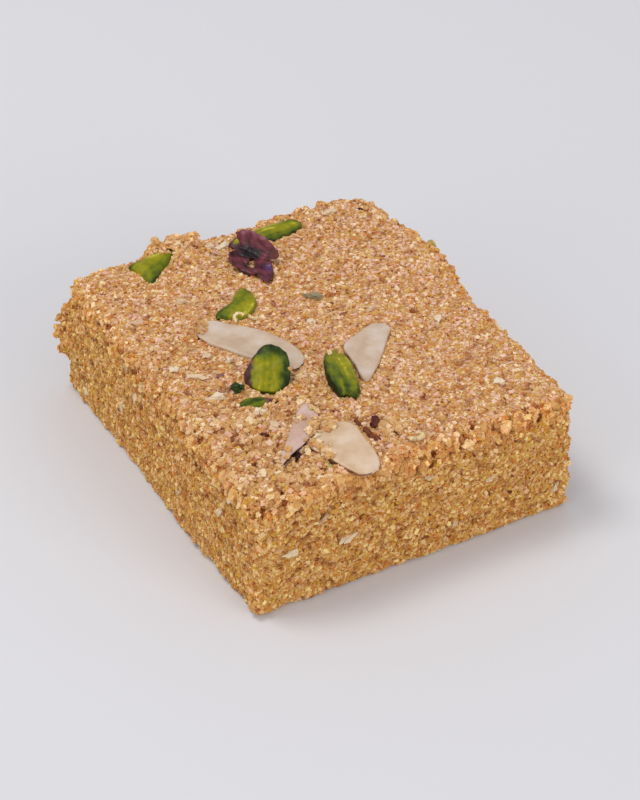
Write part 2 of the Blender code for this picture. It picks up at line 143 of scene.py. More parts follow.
def fine_copy(node, name, voxel, rounds):
    """A copy of a solid in small even faces, its hard corners eased."""
    obj = bpy.data.objects.new(name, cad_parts[node].data.copy())
    scene.collection.objects.link(obj)
    obj.data.materials.clear()
    work_on(obj)
    bpy.ops.object.mode_set(mode="EDIT")
    bpy.ops.mesh.select_all(action="SELECT")
    bpy.ops.mesh.remove_doubles(threshold=0.000002)
    bpy.ops.object.mode_set(mode="OBJECT")
    remesh = obj.modifiers.new("even_faces", "REMESH")
    remesh.mode = "VOXEL"
    remesh.voxel_size = voxel
    ease = obj.modifiers.new("ease", "SMOOTH")
    ease.factor = 0.5
    ease.iterations = rounds
    apply_modifiers(obj)
    bpy.ops.object.shade_smooth()
    return obj


def places_of(obj):
    """The points of a mesh, one row each."""
    flat = np.empty(len(obj.data.vertices) * 3, np.float32)
    obj.data.vertices.foreach_get("co", flat)
    return flat.reshape(-1, 3).astype(float)


def outward_of(obj):
    """The way out of the surface at each point of a mesh."""
    flat = np.empty(len(obj.data.vertices) * 3, np.float32)
    obj.data.vertices.foreach_get("normal", flat)
    return flat.reshape(-1, 3).astype(float)


def move_to(obj, places):
    """Gives a mesh's points new places."""
    obj.data.vertices.foreach_set("co", places.reshape(-1).astype(np.float32))
    obj.data.update()


def evened(obj, values, rounds):
    """Values at a mesh's points, each averaged again and again with its neighbours'."""
    flat = np.empty(len(obj.data.edges) * 2, np.int32)
    obj.data.edges.foreach_get("vertices", flat)
    one, other = flat.reshape(-1, 2).T
    count = len(values)
    links = np.bincount(one, minlength=count) + np.bincount(other, minlength=count) + 1
    for _ in range(rounds):
        total = values.copy()
        for axis in range(values.shape[1]):
            total[:, axis] += np.bincount(one, values[other, axis], count)
            total[:, axis] += np.bincount(other, values[one, axis], count)
        values = total / links[:, None]
    return values


def paint(obj, name, values):
    """Stores one number for each point of the mesh, for a material to read."""
    layer = obj.data.attributes.new(name, "FLOAT", "POINT")
    layer.data.foreach_set("value", np.asarray(values, np.float32))


def nearness_to_edge(places):
    """One on an edge of the block, falling to nothing at the reach of its wear."""
    gaps = np.stack([
        np.minimum(places[:, 0] - block_low[0], block_high[0] - places[:, 0]),
        np.minimum(places[:, 1] - block_low[1], block_high[1] - places[:, 1]),
        np.maximum(block_high[2] - places[:, 2] - TOP_UNEVENNESS, 0.0),
    ], axis=1)
    second = np.sort(gaps, axis=1)[:, 1]
    return np.clip(1.0 - second / EDGE_REACH, 0.0, 1.0)


def crumbling(places):
    """One where the top has fallen apart most, and nothing far from there or low on the sides."""
    away = np.linalg.norm(places[:, :2] - np.array(CRUMBLED_PLACE) * MM, axis=1)
    high = np.clip((places[:, 2] - CRUMBLED_FROM) / CRUMBLED_RISE, 0.0, 1.0)
    return high * np.clip(1.5 - 1.5 * away / CRUMBLED_REACH, 0.0, 1.0)


def sideways(outward):
    """Nothing where the surface faces up, one where it stands upright."""
    return np.clip((0.9 - outward[:, 2]) / 0.6, 0.0, 1.0)


def add_lumps(obj, name, kind, spacing, height):
    """Raises the rough part of the surface in lumps of one size."""
    pattern = bpy.data.textures.new(name, kind)
    pattern.noise_scale = spacing
    lumps = obj.modifiers.new(name, "DISPLACE")
    lumps.texture = pattern
    lumps.texture_coords = "LOCAL"
    lumps.strength = height
    lumps.mid_level = 0.5
    lumps.vertex_group = "rough"


core = fine_copy("gajak_block", "pressed_crumb", CORE_VOXEL, rounds=2)
core_places = places_of(core)
core_side = sideways(outward_of(core))
core_edge = nearness_to_edge(core_places)
above_base = np.clip((core_places[:, 2] - 0.1 * MM) / BASE_FREE, 0.0, 1.0)
broken = EDGE_ROUGHNESS * core_edge + CRUMBLED_ROUGHNESS * crumbling(core_places)
roughness = above_base * np.clip(PRESSED_ROUGHNESS + CUT_ROUGHNESS * core_side + broken, 0.0, 1.0)
rough = core.vertex_groups.new(name="rough")
for step in range(ROUGHNESS_STEPS + 1):
    chosen = np.flatnonzero(np.round(roughness * ROUGHNESS_STEPS) == step)
    rough.add(chosen.tolist(), step / ROUGHNESS_STEPS, "REPLACE")
for name, kind, spacing, height in LUMPS:
    add_lumps(core, name, kind, spacing * MM, height * MM)
apply_modifiers(core)
core_places = places_of(core)
core_outward = outward_of(core)
random = np.random.default_rng(9)
upper = np.clip((core_places[:, 2] - PITTED_FROM) / PITTED_RISE, 0.06, 1.0)
chance = above_base * (0.006 + core_edge * upper + 0.12 * crumbling(core_places))
for middle in core_places[random.choice(len(chance), PITS, p=chance / chance.sum())]:
    radius = random.uniform(*PIT_RADII) * MM
    near = np.clip(1.0 - (np.linalg.norm(core_places - middle, axis=1) / radius) ** 2, 0.0, 1.0)
    core_places -= core_outward * (PIT_DEPTH * radius * near ** 1.5 * above_base)[:, None]
move_to(core, core_places)
core_outward = outward_of(core)
# Painted shade: how deep each point lies in a hollow, and so how far its colour is darkened there, as shade
# would darken it.
hollow_shade = ((evened(core, core_places, 8) - core_places) * core_outward).sum(axis=1)
core_hollow_shade = np.clip(hollow_shade / HOLLOW_DEPTH, -0.3, 1.0)
core_side = evened(core, sideways(core_outward)[:, None], 12)[:, 0]
paint(core, "hollow_shade", core_hollow_shade)
paint(core, "edge", nearness_to_edge(core_places))
paint(core, "side", core_side)


def linear(red, green, blue):
    """A colour given as it looks on a screen, from 0 to 255, as a shader takes it."""
    shares = [value / 255 for value in (red, green, blue)]
    return (*[v / 12.92 if v <= 0.04045 else ((v + 0.055) / 1.055) ** 2.4 for v in shares], 1.0)


def new_finish(name, roughness):
    """A material, its node tree and its shader."""
    finish = bpy.data.materials.new(name)
    finish.use_nodes = True
    tree = finish.node_tree
    shader = tree.nodes["Principled BSDF"]
    shader.inputs["Roughness"].default_value = roughness
    return finish, tree, shader


def painted(tree, name):
    """The number that was painted on the mesh."""
    node = tree.nodes.new("ShaderNodeAttribute")
    node.attribute_name = name
    return node.outputs["Fac"]


def ramp_of(tree, value, stops):
    """A colour for each value, through stops that each give a place from 0 to 1 and a colour."""
    ramp = tree.nodes.new("ShaderNodeValToRGB")
    points = ramp.color_ramp.elements
    while len(points) < len(stops):
        points.new(0.5)
    for point, (place, colour) in zip(points, stops):
        point.position = place
        point.color = colour
    tree.links.new(value, ramp.inputs["Fac"])
    return ramp.outputs["Color"]


def blended(tree, kind, share, first, second):
    """Two colours mixed. The share and the second may each be a value or a socket."""
    mix = tree.nodes.new("ShaderNodeMix")
    mix.data_type = "RGBA"
    mix.blend_type = kind
    for socket, value in ((mix.inputs[0], share), (mix.inputs[6], first), (mix.inputs[7], second)):
        if isinstance(value, bpy.types.NodeSocket):
            tree.links.new(value, socket)
        else:
            socket.default_value = value
    return mix.outputs[2]


def sum_of(tree, kind, first, second, third=0.0):
    """A small sum of two or three numbers, each a value or a socket."""
    step = tree.nodes.new("ShaderNodeMath")
    step.operation = kind
    for socket, value in zip(step.inputs, (first, second, third)):
        if isinstance(value, bpy.types.NodeSocket):
            tree.links.new(value, socket)
        else:
            socket.default_value = value
    return step.outputs[0]


def mottle(tree, scale, detail=2.0, where=None):
    """A soft random pattern on the piece, with this many patches to the metre."""
    pattern = tree.nodes.new("ShaderNodeTexNoise")
    pattern.inputs["Scale"].default_value = scale
    pattern.inputs["Detail"].default_value = detail
    if where is None:
        where = tree.nodes.new("ShaderNodeTexCoord").outputs["Object"]
    tree.links.new(where, pattern.inputs["Vector"])
    return pattern.outputs["Fac"]


def add_grit(tree, shader, scale, depth):
    """Fine unevenness of the surface itself."""
    bump = tree.nodes.new("ShaderNodeBump")
    bump.inputs["Distance"].default_value = depth
    bump.inputs["Strength"].default_value = 0.8
    tree.links.new(mottle(tree, scale, detail=3.0), bump.inputs["Height"])
    tree.links.new(bump.outputs["Normal"], shader.inputs["Normal"])


DEEP_BROWN = linear(136, 72, 30)
AMBER = linear(208, 128, 58)
TAN = linear(209, 160, 102)
OCHRE = linear(214, 172, 74)
ROSE = linear(234, 188, 170)
CREAM = linear(250, 224, 184)
PIT_SHADE = linear(180, 126, 86)     # what a pit's shade multiplies the crumb's colour by
UPRIGHT_SIDE_TINT = (0.98, 0.93, 0.56, 1.0)   # the upright sides are made darker and more golden than the pressed top
EDGE_TINT = (1.20, 1.08, 0.90, 1.0)  # and the crumb along the block's edges lighter and warmer


def tinted_crumb(tree, colour):
    """The crumb's colour with painted shade in its pits and hollows, made lighter and warmer along the
    block's edges, and darker and more golden on its upright sides.
    """
    colour = blended(tree, "MULTIPLY", painted(tree, "hollow_shade"), colour, PIT_SHADE)
    colour = blended(tree, "MULTIPLY", painted(tree, "edge"), colour, EDGE_TINT)
    return blended(tree, "MULTIPLY", painted(tree, "side"), colour, UPRIGHT_SIDE_TINT)


SPECKLES = 2600.0           # specks of colour to the metre of crumb
core_finish, tree, shader = new_finish("pressed_crumb", roughness=0.85)
cells = tree.nodes.new("ShaderNodeTexVoronoi")
cells.inputs["Scale"].default_value = SPECKLES
tree.links.new(tree.nodes.new("ShaderNodeTexCoord").outputs["Object"], cells.inputs["Vector"])
shade = tree.nodes.new("ShaderNodeSeparateColor")
tree.links.new(cells.outputs["Color"], shade.inputs["Color"])
speckle = sum_of(tree, "MULTIPLY_ADD", shade.outputs["Red"], 0.9, -0.45)
patches = sum_of(tree, "MULTIPLY_ADD", mottle(tree, scale=700.0, detail=3.0), 0.9, 0.05)
crumb_colour = ramp_of(tree, sum_of(tree, "ADD", speckle, patches), (
    (0.0, DEEP_BROWN), (0.18, AMBER), (0.4, TAN), (0.58, OCHRE), (0.78, ROSE), (1.0, CREAM),
))
tree.links.new(tinted_crumb(tree, crumb_colour), shader.inputs["Base Color"])
add_grit(tree, shader, scale=2300.0, depth=0.0004)
core.data.materials.append(core_finish)
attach(core, "root")
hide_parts("gajak_block")

# The grain of the surface
# Crushed sesame and set jaggery in grains of a quarter of a millimetre to a millimetre, each
# half sunk in the pressed crumb. They lie flush on the top and stand proud at the edges.
POWDER_PATCH = 5.0 * MM     # size of the patches that have more grain or more powder


def surface_of(obj):
    """A mesh's triangles as arrays: their points and corners, way out and areas."""
    obj.data.calc_loop_triangles()
    points = np.empty(len(obj.data.loop_triangles) * 3, np.int32)
    obj.data.loop_triangles.foreach_get("vertices", points)
    points = points.reshape(-1, 3)
    corners = places_of(obj)[points]
    cross = np.cross(corners[:, 1] - corners[:, 0], corners[:, 2] - corners[:, 0])
    doubled = np.linalg.norm(cross, axis=1)
    return points, corners, cross / np.maximum(doubled, 1e-20)[:, None], doubled / 2


surface_points, surface, surface_way, surface_area = surface_of(core)
surface_middle = surface.mean(axis=1)
surface_side = core_side[surface_points].mean(axis=1)
surface_hollow_shade = core_hollow_shade[surface_points].mean(axis=1)
surface_edge = nearness_to_edge(surface_middle)
surface_crumbling = crumbling(surface_middle)
bare_base = (surface_middle[:, 2] < 0.3 * MM) | (surface_way[:, 2] < -0.8)
grainy = np.array([noise.noise(Vector(spot) / POWDER_PATCH) for spot in surface_middle])
graininess = np.clip(0.9 + 0.9 * grainy, 0.4, 1.4)
graininess = np.where(bare_base, 0.0, graininess * surface_area)


def grain_shapes(kind, seed):
    """Four shapes about a unit across, modelled once: chips, or crumbs of five chips each."""
    random = np.random.default_rng(seed)
    is_chip = kind == "chip"
    shapes = []
    for number in range(4):
        bpy.ops.object.select_all(action="DESELECT")
        bpy.ops.mesh.primitive_cube_add(size=0.8 if is_chip else 0.5)
        grain = bpy.context.object
        bpy.ops.object.mode_set(mode="EDIT")
        if not is_chip:
            for _ in range(4):
                spot = random.normal(size=3)
                spot *= random.uniform(0.18, 0.36) / np.linalg.norm(spot)
                bpy.ops.mesh.primitive_cube_add(
                    size=random.uniform(0.26, 0.52), location=spot, rotation=random.uniform(0.0, math.pi, 3),
                )
        bpy.ops.mesh.select_all(action="SELECT")
        bpy.ops.mesh.quads_convert_to_tris()
        shift = 0.16 if is_chip else 0.11
        bpy.ops.transform.vertex_random(offset=shift, uniform=0.4, normal=0.4, seed=seed + number)
        bpy.ops.object.mode_set(mode="OBJECT")
        faces = np.array([face.vertices[:] for face in grain.data.polygons])
        shapes.append(places_of(grain))
        bpy.data.meshes.remove(grain.data)
    return np.stack(shapes), faces


def turned_frames(ways, random, tilt):
    """For each direction, a frame whose Z is near it, spun at random about it."""
    ways = ways + random.normal(0.0, tilt, ways.shape)
    ways /= np.linalg.norm(ways, axis=1)[:, None]
    side = np.cross(ways, random.normal(size=ways.shape))
    side /= np.linalg.norm(side, axis=1)[:, None]
    return np.stack([side, np.cross(ways, side), ways], axis=2)


def joined_grains(name, spots, frames, sizes, kind, seed, painting):
    """One mesh of many grains, each with its own numbers painted and its own square of the map."""
    random = np.random.default_rng(seed)
    shapes, faces = grain_shapes(kind, seed)
    count = len(spots)
    corners = shapes.shape[1]
    local = shapes[random.integers(0, len(shapes), count)] * sizes[:, None, :]
    placed = np.einsum("nij,nkj->nki", frames, local) + spots[:, None, :]
    placed[:, :, 2] = np.maximum(placed[:, :, 2], 0.02 * MM)
    loops = (faces[None] + (np.arange(count) * corners)[:, None, None]).reshape(-1)
    mesh = bpy.data.meshes.new(name)
    mesh.vertices.add(count * corners)
    mesh.vertices.foreach_set("co", placed.reshape(-1).astype(np.float32))
    mesh.loops.add(len(loops))
    mesh.loops.foreach_set("vertex_index", loops.astype(np.int32))
    mesh.polygons.add(len(loops) // 3)
    mesh.polygons.foreach_set("loop_start", np.arange(0, len(loops), 3, dtype=np.int32))
    mesh.update(calc_edges=True)
    across = math.ceil(math.sqrt(count))
    cell = np.stack([np.arange(count) % across, np.arange(count) // across], axis=1)
    triangle = np.array([(0.15, 0.15), (0.85, 0.15), (0.5, 0.85)])
    chart = mesh.uv_layers.new(name="OFBake")
    on_map = (cell[:, None, None, :] + np.tile(triangle, (len(faces), 1, 1))[None]) / across
    chart.uv.foreach_set("vector", on_map.reshape(-1).astype(np.float32))
    mesh.shade_flat()
    obj = bpy.data.objects.new(name, mesh)
    scene.collection.objects.link(obj)
    for layer, values in painting.items():
        paint(obj, layer, np.repeat(values, corners))
    return obj


def grain_finish(name, stops, roughness, grit=0.0001):
    """A finish whose colour comes from each grain's own tone, finely mottled."""
    finish, tree, shader = new_finish(name, roughness)
    uneven = sum_of(tree, "MULTIPLY_ADD", mottle(tree, scale=2400.0), 0.5, -0.25)
    colour = ramp_of(tree, sum_of(tree, "ADD", painted(tree, "tone"), uneven), stops)
    tree.links.new(tinted_crumb(tree, colour), shader.inputs["Base Color"])
    add_grit(tree, shader, scale=2600.0, depth=grit)
    return finish


def scatter(name, count, smallest, largest, seed, weight=1.0, kind="chip", proud=0.0):
    """Grains of one kind over the block, each lying flat and partly sunk in the crumb.

    More fall where the weight is higher, and proud is the share of its width that each is raised by.
    """
    random = np.random.default_rng(seed)
    chance = graininess * weight
    picked = random.choice(len(chance), size=count, p=chance / chance.sum())
    mix = random.dirichlet((1.0, 1.0, 1.0), count)
    spots = (surface[picked] * mix[:, :, None]).sum(axis=1)
    ways = surface_way[picked]
    side = surface_side[picked]
    edge = surface_edge[picked]
    # Most are small, and they are coarser where the crumb has broken.
    widths = smallest + (largest - smallest) * random.random(count) ** 2.2
    widths *= 0.9 + 0.25 * edge + 0.3 * surface_crumbling[picked]
    sizes = np.stack([
        random.uniform(0.9, 1.3, count), random.uniform(0.65, 1.0, count), random.uniform(0.55, 0.8, count),
    ], axis=1) * widths[:, None]
    lift = proud - 0.12 + 0.08 * side + 0.14 * edge + random.uniform(-0.18, 0.18, count)
    spots = spots + ways * (widths * lift)[:, None]
    frames = turned_frames(ways, random, 0.22)
    painting = {
        "tone": random.random(count), "side": side, "edge": edge, "hollow_shade": surface_hollow_shade[picked],
    }
    if kind == "crumb":
        # A crumb takes only half the tint of the side or edge where it clings.
        painting["side"] = 0.5 * side
        painting["edge"] = 0.5 * edge
    return joined_grains(name, spots, frames, sizes, kind, seed, painting)


GRAIN_KINDS = (
    # name, how many, smallest and largest in millimetres, roughness, colours
    ("tan_grains", 16500, 0.24, 0.70, 0.8, ((0.0, AMBER), (0.3, TAN), (0.7, TAN), (1.0, ROSE))),
    ("amber_grains", 14500, 0.24, 0.66, 0.6, ((0.0, DEEP_BROWN), (0.3, AMBER), (0.8, TAN))),
    ("ochre_grains", 14500, 0.24, 0.90, 0.75, ((0.0, AMBER), (0.4, OCHRE), (1.0, CREAM))),
    ("rose_grains", 11000, 0.24, 1.00, 0.7, ((0.0, TAN), (0.5, ROSE), (1.0, CREAM))),
)
for index, (name, count, smallest, largest, roughness, stops) in enumerate(GRAIN_KINDS):
    grains = scatter(name, count, smallest * MM, largest * MM, seed=50 + 10 * index)
    grains.data.materials.append(grain_finish(name, stops, roughness))
    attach(grains, "root")

# The broken crumbs of the edges
# Where the block was handled, its edges and its front left corner have fallen to crumbs of half
# a millimetre to two that still cling to it: the same sesame and jaggery, but paler.
EDGE_CRUMBS = 2600
GOLDEN = linear(222, 172, 104)
PALE_GOLD = linear(236, 196, 146)
CRUMB_STOPS = ((0.0, linear(212, 146, 88)), (0.2, TAN), (0.5, GOLDEN), (0.8, PALE_GOLD), (1.0, CREAM))
# They lie thickest towards the front left corner and thinnest towards the back right one.
nearer = np.clip(1.0 - (surface_middle[:, 0] + surface_middle[:, 1] + 34.0 * MM) / (50.0 * MM), 0.3, 1.5)
edge_crumbs = scatter(
    "edge_crumbs", EDGE_CRUMBS, 0.5 * MM, 1.6 * MM, seed=130,
    weight=surface_edge ** 1.5 * nearer + 0.25 * surface_crumbling,
    kind="crumb", proud=-0.02,
)
edge_crumbs.data.materials.append(grain_finish("edge_crumbs", CRUMB_STOPS, roughness=0.75, grit=0.0004))
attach(edge_crumbs, "root")

# The chopped pistachios
# Kernels cut with a knife and strewn on the soft sweet: yellow-green inside, dark green under
# the skin, with shreds of the purple-brown skin left on. They are pressed in with the palm.
NUT_VOXEL = 0.17 * MM


def own_shares(places, way=None):
    """Each point's place on its piece: along and across it from -1 to 1, and up from 0 to 1."""
    middle = (places.max(axis=0) + places.min(axis=0)) / 2
    level = places[:, :2] - middle[:2]
    if way is None:
        _, _, axes = np.linalg.svd(level - level.mean(axis=0), full_matrices=False)
        way = axes[0] if axes[0][1] > 0 else -axes[0]
    along = level @ way
    across = level @ np.array((way[1], -way[0]))
    up = (places[:, 2] - places[:, 2].min()) / np.ptp(places[:, 2])
    return along / np.abs(along).max(), across / np.abs(across).max(), up


def soft_step(values, start, end):
    """Nothing up to the start, one from the end on, and a smooth rise between them."""
    share = np.clip((values - start) / (end - start), 0.0, 1.0)
    return share * share * (3.0 - 2.0 * share)


def rough_pattern(places, spacing, seed):
    """A smooth random number from about -1 to 1 at each point."""
    shift = Vector((seed, 2.0 * seed, 3.0 * seed))
    return np.array([noise.noise(Vector(spot) / spacing + shift) for spot in places])


pistachio_finish, tree, shader = new_finish("pistachio_flesh", roughness=0.45)
shader.inputs["Specular IOR Level"].default_value = 0.22
# The flesh is streaked along each piece and clouded all over.
streaks = tree.nodes.new("ShaderNodeCombineXYZ")
tree.links.new(painted(tree, "along"), streaks.inputs["X"])
tree.links.new(sum_of(tree, "MULTIPLY", painted(tree, "across"), 3.0), streaks.inputs["Y"])
tree.links.new(painted(tree, "tone"), streaks.inputs["Z"])
uneven = sum_of(tree, "MULTIPLY_ADD", mottle(tree, scale=1.8, where=streaks.outputs["Vector"]), 0.5, -0.25)
clouded = sum_of(tree, "MULTIPLY_ADD", mottle(tree, scale=900.0, detail=3.0), 0.36, -0.18)
uneven = sum_of(tree, "ADD", uneven, clouded)
flesh = ramp_of(tree, sum_of(tree, "ADD", painted(tree, "tone"), uneven), (
    (0.0, linear(20, 30, 2)), (0.25, linear(50, 68, 2)), (0.5, linear(102, 112, 2)),
    (0.78, linear(152, 144, 4)), (1.0, linear(210, 200, 80)),
))
skin = ramp_of(tree, mottle(tree, scale=900.0, detail=3.0), (
    (0.3, linear(54, 26, 30)), (0.55, linear(96, 52, 52)), (0.75, linear(150, 92, 84)),
))
tree.links.new(blended(tree, "MIX", painted(tree, "skin"), flesh, skin), shader.inputs["Base Color"])
add_grit(tree, shader, scale=1500.0, depth=0.00018)


def chopped_pistachio(node, dark_side, paleness, skin_end, skin_share, seed):
    """One flat piece: darker on one side and round its rim, with skin left at one end."""
    nut = fine_copy(node, node + "_kernel", NUT_VOXEL, rounds=3)
    places = places_of(nut)
    along, across, up = own_shares(places)
    wavy = rough_pattern(places, 1.9 * MM, seed)
    fine = rough_pattern(places, 0.8 * MM, seed + 7)
    streak = rough_pattern(np.stack([0.7 * along, 2.6 * across, up], axis=1), 1.0, seed + 5)
    rim = soft_step(np.maximum(along ** 2 + across ** 2, (1.0 - up) * 1.3), 0.6, 1.15)
    places += outward_of(nut) * ((0.16 * wavy + 0.06 * fine) * MM)[:, None]
    move_to(nut, places)
    paint(nut, "along", along)
    paint(nut, "across", across)
    uneven = 0.16 * wavy + 0.36 * streak + 0.12 * fine
    paint(nut, "tone", paleness - 0.3 * across * dark_side + uneven - 0.5 * rim)
    skin = soft_step(along * skin_end + 0.5 * wavy + 0.35 * fine, 1.0 - skin_share, 1.15 - skin_share)
    paint(nut, "skin", skin * soft_step(rim, 0.1, 0.5))
    return nut


def set_nut(nut, node, finish):
    """Gives a nut its finish and puts it in its solid's place."""
    nut.data.materials.append(finish)
    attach(nut, "root")
    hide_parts(node)
    return nut


CHOPPED = (
    # node, dark side, paleness, end with skin, share of skin, seed
    ("pistachio_back_left", 1.0, 0.54, 1.0, 0.35, 3),
    ("pistachio_back_edge", 1.0, 0.63, -1.0, 0.25, 5),
    ("pistachio_middle", -1.0, 0.57, 1.0, 0.12, 8),
    ("pistachio_front", -1.0, 0.56, -1.0, 0.0, 13),
)
nuts = []
for node, dark_side, paleness, skin_end, skin_share, seed in CHOPPED:
    nut = chopped_pistachio(node, dark_side, paleness, skin_end, skin_share, seed)
    nuts.append(set_nut(nut, node, pistachio_finish))

# The thinnest sliver is paler along its back rim, where a little skin begins.
sliver = chopped_pistachio("pistachio_thin_slice", 0.3, 0.40, 1.0, 0.0, 11)
places = places_of(sliver)
along, across, up = own_shares(places, np.array((0.9, -0.43)))
back_rim = soft_step(-across + 0.6 * (up - 0.5), 0.45, 0.75) * soft_step(up, 0.35, 0.6)
tone = np.empty(len(places), np.float32)
sliver.data.attributes["tone"].data.foreach_get("value", tone)
sliver.data.attributes["tone"].data.foreach_set("value", (tone + 0.35 * back_rim).astype(np.float32))
skin = np.maximum(soft_step(along, 0.45, 0.75), 0.55 * back_rim).astype(np.float32)
sliver.data.attributes["skin"].data.foreach_set("value", skin)
nuts.append(set_nut(sliver, "pistachio_thin_slice", pistachio_finish))

# The tall chunk of pistachio
# Half a kernel cut square across, tipped back in the crumb with its cut face to the front.
# The cut is yellow-green with a dark green rim, and the purple skin is still on its left.
CHUNK_LEAN = math.radians(30.0)
LEAN_WAY = np.array((0.50, 0.87))  # level direction that the chunk leans back in
chunk = fine_copy("pistachio_chunk", "pistachio_chunk_kernel", NUT_VOXEL, rounds=2)
places = places_of(chunk)
outward = outward_of(chunk)
face_way = np.array((*(-LEAN_WAY * math.sin(CHUNK_LEAN)), math.cos(CHUNK_LEAN)))
rise_way = np.array((*(LEAN_WAY * math.cos(CHUNK_LEAN)), math.sin(CHUNK_LEAN)))
cross_way = np.cross(rise_way, face_way)
middle = (places.max(axis=0) + places.min(axis=0)) / 2
rise = (places - middle) @ rise_way
cross = (places - middle) @ cross_way
rise /= np.abs(rise).max()
cross /= np.abs(cross).max()
on_face = soft_step(outward @ face_way, 0.55, 0.85)
wavy = rough_pattern(places, 1.8 * MM, 17)
fine = rough_pattern(places, 0.7 * MM, 19)
rim = np.maximum.reduce([
    soft_step(rise + 0.1 * fine, 0.25, 0.72), soft_step(cross + 0.15 * fine, 0.4, 0.85),
    soft_step(-cross + 0.1 * fine, 0.55, 0.85), soft_step(-rise, 0.72, 0.9),
])
places += outward * ((0.30 * wavy + 0.12 * fine) * MM * (0.4 + 0.6 * on_face))[:, None]
move_to(chunk, places)
paint(chunk, "along", rise)
paint(chunk, "across", cross)
pale_line = 0.7 * soft_step(-rise + 0.2 * cross, 0.84, 0.94)
face_tone = 0.66 + 0.14 * wavy + 0.12 * fine - 0.50 * rim + pale_line
paint(chunk, "tone", on_face * face_tone + (1.0 - on_face) * (0.14 + 0.15 * wavy))
skinned_side = soft_step(-cross + 0.15 * rise + 0.12 * fine + 0.25 * (1.0 - on_face), 0.60, 0.74)
paint(chunk, "skin", skinned_side)
nuts.append(set_nut(chunk, "pistachio_chunk", pistachio_finish))

# The almond flakes
# Blanched almonds sliced a millimetre thin: ivory, waxy and slightly clear. Some keep a line
# of brown skin along one rim, and their flat faces are a little wavy.
FLAKES = (
    # node, directions from its middle in which the rim has kept its skin, how far painted shade darkens that
    # skin, seed, tint
    ("almond_flake_left", ((0.8, 0.6),), 0.0, 23, (1.0, 0.99, 0.97, 1.0)),
    ("almond_flake_right", ((-0.5, 0.87),), 0.4, 29, (0.99, 0.98, 0.99, 1.0)),
    ("almond_flake_wing", ((0.4, -0.9),), 1.0, 31, (1.02, 0.89, 0.96, 1.0)),
    ("almond_flake_front", ((1.0, 0.1), (-0.8, -0.6)), 0.2, 37, (1.09, 1.02, 0.88, 1.0)),
)


def almond_finish(name, tint):
    """Almond flesh in its own tint, with brown skin where the rim has kept it."""
    finish, tree, shader = new_finish(name, roughness=0.38)
    shader.inputs["Subsurface Weight"].default_value = 0.15
    shader.inputs["Subsurface Radius"].default_value = (1.0, 0.7, 0.5)
    shader.inputs["Subsurface Scale"].default_value = 0.0012
    flesh = ramp_of(tree, mottle(tree, scale=330.0, detail=2.0), (
        (0.3, linear(196, 168, 142)), (0.5, linear(208, 184, 162)), (0.7, linear(216, 198, 186)),
    ))
    flesh = blended(tree, "MULTIPLY", 1.0, flesh, tint)
    skin = ramp_of(tree, mottle(tree, scale=1100.0), (
        (0.35, linear(82, 36, 20)), (0.65, linear(150, 84, 50)),
    ))
    # Painted shade: the skin is darkened towards black by this share, most on the wing's rim under its
    # raised tip.
    skin = blended(tree, "MIX", painted(tree, "shaded"), skin, linear(44, 8, 10))
    tree.links.new(blended(tree, "MIX", painted(tree, "skin"), flesh, skin), shader.inputs["Base Color"])
    add_grit(tree, shader, scale=1300.0, depth=0.00012)
    return finish


for node, skin_ways, skin_shade, seed, tint in FLAKES:
    flake = fine_copy(node, node + "_slice", NUT_VOXEL, rounds=3)
    places = places_of(flake)
    outward = outward_of(flake)
    wavy = rough_pattern(places, 3.0 * MM, seed)
    fine = rough_pattern(places, 0.9 * MM, seed + 3)
    skin = np.zeros(len(places))
    on_rim = soft_step(1.0 - np.abs(outward[:, 2]), 0.35, 0.75)
    for skin_way in skin_ways:
        facing = outward[:, :2] @ np.array(skin_way)
        skin = np.maximum(skin, on_rim * soft_step(facing + 0.3 * fine, 0.45, 0.7))
    places += outward * ((0.12 * wavy + 0.04 * fine) * MM)[:, None]
    move_to(flake, places)
    paint(flake, "skin", skin)
    paint(flake, "shaded", np.full(len(places), skin_shade))
    nuts.append(set_nut(flake, node, almond_finish(node, tint)))

# The dried petal
# A dark purple rose petal dried to a curl. It is painted lighter the higher it rises, and near
# black in its valley and hollow middle, as light and shade fall on it, and violet where the light
# grazes it. It lies loose on the crumb at the back.
PETAL_VOXEL = 0.15 * MM
PETAL_HEART = (1.2, 24.3)   # its hollow middle, painted in shade, in millimetres
PETAL_VIOLET = (2.0, 18.6)  # the side of its lower lobe that catches the light
PETAL_BROWN = ((3.9, 20.2), (2.6, 17.6))  # where it has dried brown
petal = fine_copy("dried_petal", "curled_petal", PETAL_VOXEL, rounds=3)
places = places_of(petal)
outward = outward_of(petal)
wrinkle = rough_pattern(places, 1.3 * MM, 41)
crease = rough_pattern(places * np.array((1.0, 0.35, 1.0)), 0.55 * MM, 43)
_, _, up = own_shares(places)
level = places[:, :2] / MM


def close_to(spot, reach):
    """One at a place on the petal seen from above, and nothing beyond this reach."""
    return soft_step(1.0 - np.linalg.norm(level - np.array(spot), axis=1) / reach, 0.0, 0.6)


places += outward * ((0.22 * wrinkle + 0.07 * crease) * MM)[:, None]
move_to(petal, places)
